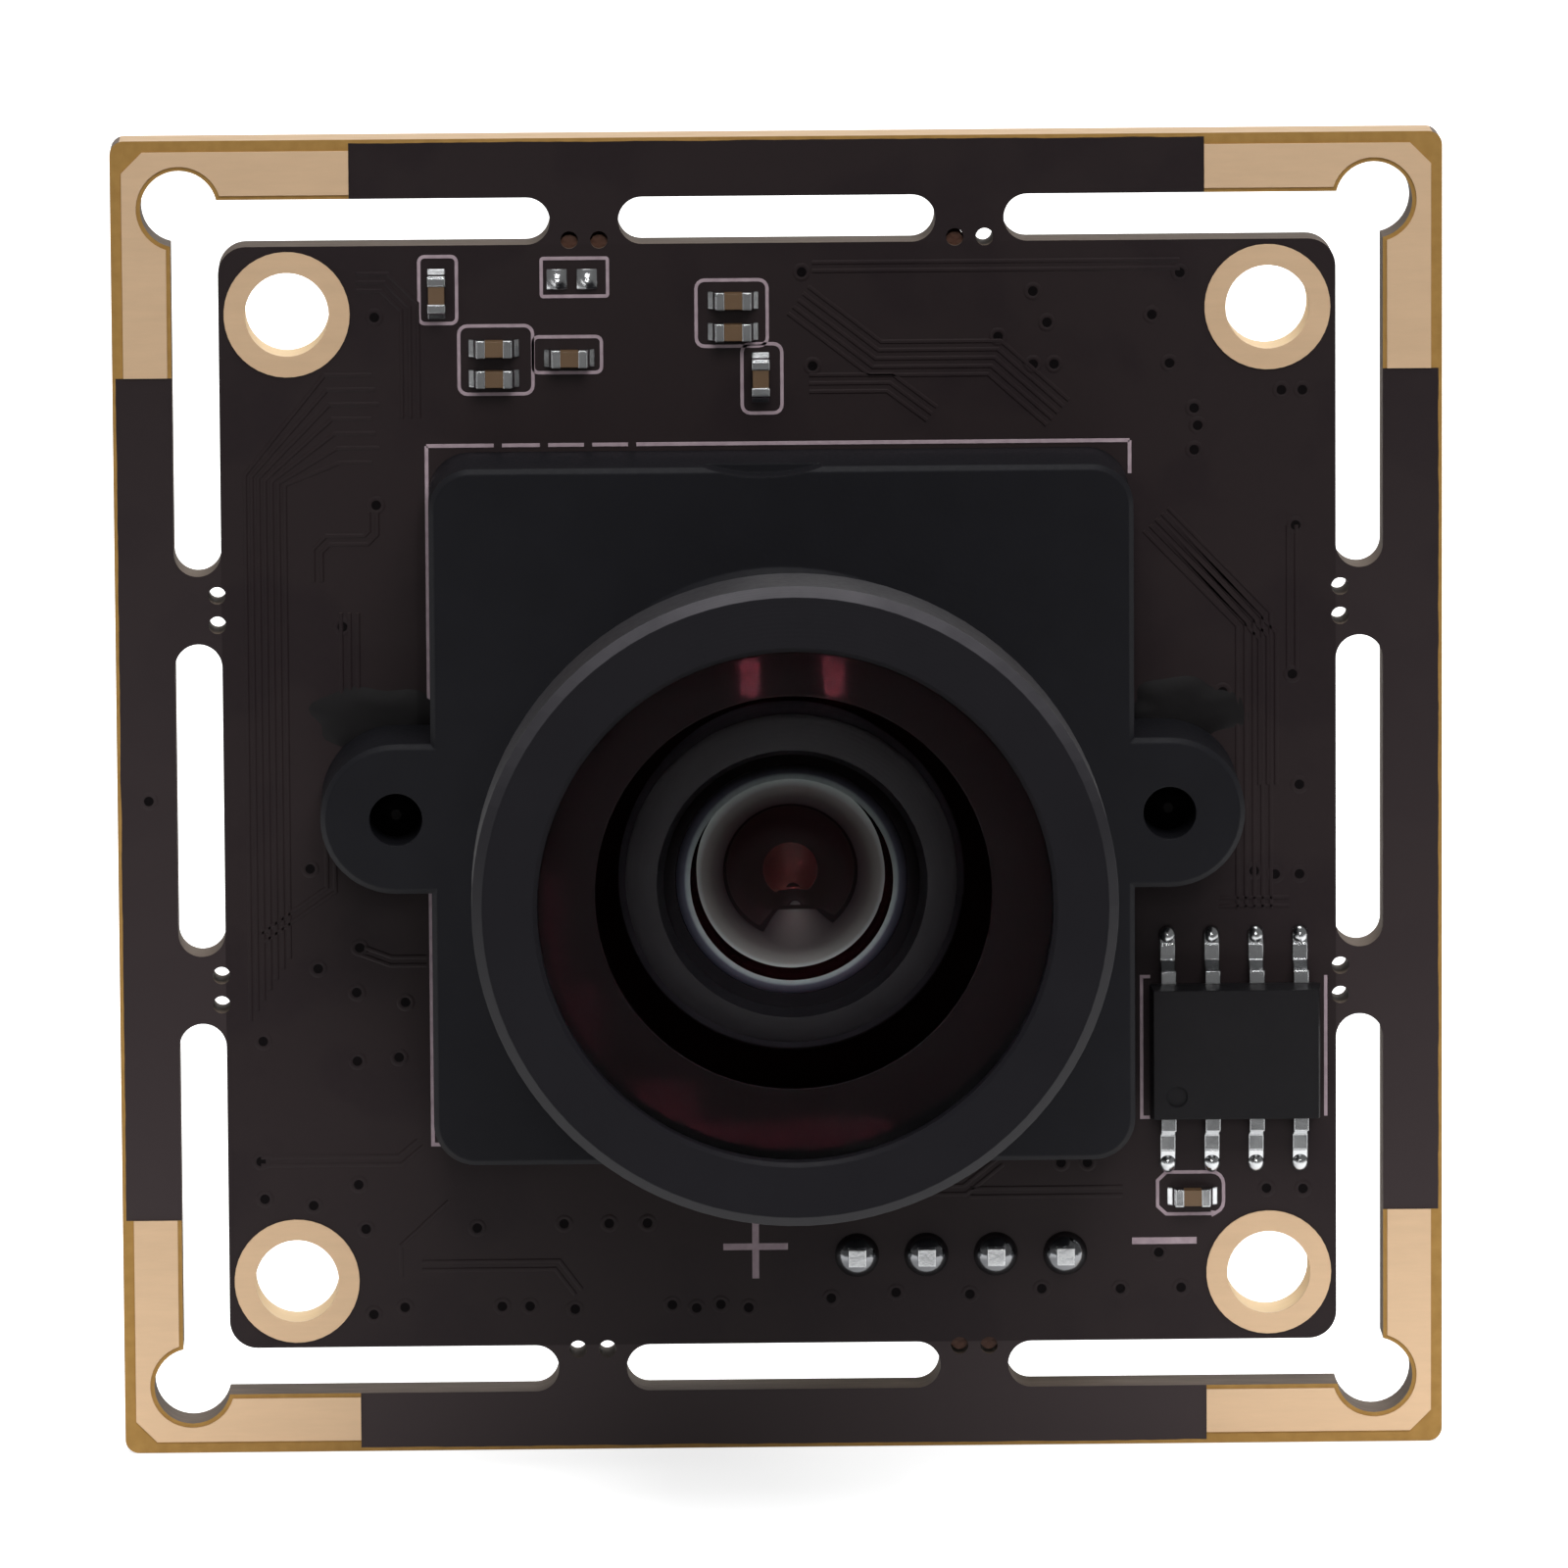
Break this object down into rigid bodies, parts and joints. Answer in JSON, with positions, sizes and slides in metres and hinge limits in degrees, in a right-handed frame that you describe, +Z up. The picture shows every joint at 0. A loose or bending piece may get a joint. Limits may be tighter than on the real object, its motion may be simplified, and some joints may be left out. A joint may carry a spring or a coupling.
{
  "type": "board camera module",
  "caption": "Square circuit board camera with a break-off mounting frame, moulded lens holder and screw-in wide-angle lens that turns to focus.",
  "frame": {"origin": "centre of the four mounting holes of the inner board, on the board's rear face", "axes": "the lens looks along -Y, +Z is up the board, +X is to the right as the lens side is seen, and +Y points away from the board's rear"},
  "size_m": [0.038, 0.0287, 0.038],
  "materials": {
    "board": "dark brown-black solder mask, satin gloss",
    "gold": "gold plated copper, satin",
    "holder_plastic": "moulded black, fine matte",
    "screw_steel": "zinc plated",
    "sensor_ceramic": "dark ceramic, matte",
    "silicon": "polished silicon",
    "cover_glass": "clear, polished",
    "filter_glass": "pale cyan, polished",
    "lens_black": "black anodised, fine turned",
    "lens_glass": "coated optical glass",
    "lens_inner": "blackened, matte",
    "chip_plastic": "moulded black epoxy",
    "tin": "bright tin",
    "capacitor_ceramic": "fired brown, semi-gloss",
    "resistor_ceramic": "black glaze",
    "ferrite": "grey-black ferrite, matte",
    "housing_nylon": "natural white nylon"
  },
  "bodies": {
    "module": {"circuit_board": "board", "break_off_frame": "board", "frame_pads": "gold", "hole_lands": "gold", "lens_holder": "holder_plastic", "holder_screws": "screw_steel", "sensor_package": "sensor_ceramic", "sensor_die": "silicon", "sensor_glass": "cover_glass", "flash_body": "chip_plastic", "flash_leads": "tin", "flash_solder": "tin", "capacitor_bodies": "capacitor_ceramic", "capacitor_ends": "tin", "capacitor_solder": "tin", "bridge_pads": "tin", "header_housing": "housing_nylon", "header_pins": "tin", "header_solder": "tin", "image_processor": "chip_plastic", "processor_contacts": "tin", "crystal_case": "sensor_ceramic", "crystal_lid": "tin", "inductor_cores": "ferrite", "inductor_terminals": "tin", "regulator_bodies": "chip_plastic", "regulator_leads": "tin", "rear_capacitor_bodies": "capacitor_ceramic", "rear_capacitor_ends": "tin", "rear_resistor_bodies": "resistor_ceramic", "rear_resistor_ends": "tin"},
    "focus_carriage": {"ir_cut_filter": "filter_glass"},
    "lens": {"lens_barrel": "lens_black", "front_cap": "lens_black", "front_element": "lens_glass", "element_retainer": "lens_inner", "second_element": "lens_glass", "cone_spacer": "lens_inner", "third_element": "lens_glass", "aperture_stop": "lens_inner", "doublet_front": "lens_glass", "doublet_rear": "lens_glass", "rear_spacer": "lens_inner", "rear_element": "lens_glass", "rear_retainer": "lens_inner"}
  },
  "joints": [
    {"name": "focus_travel", "type": "slide", "parent": "module", "child": "focus_carriage", "axis": [0, -1, 0], "range_m": [-0.00051, 0.00101]},
    {"name": "focus_turn", "type": "hinge", "parent": "focus_carriage", "child": "lens", "pos_m": [0, -0.012, 0], "axis": [0, -1, 0], "range_deg": [-360, 720]}
  ],
  "couplings": [
    {"joint": "focus_travel", "follows": "focus_turn", "m_per_rad": 0.000079577}
  ]
}
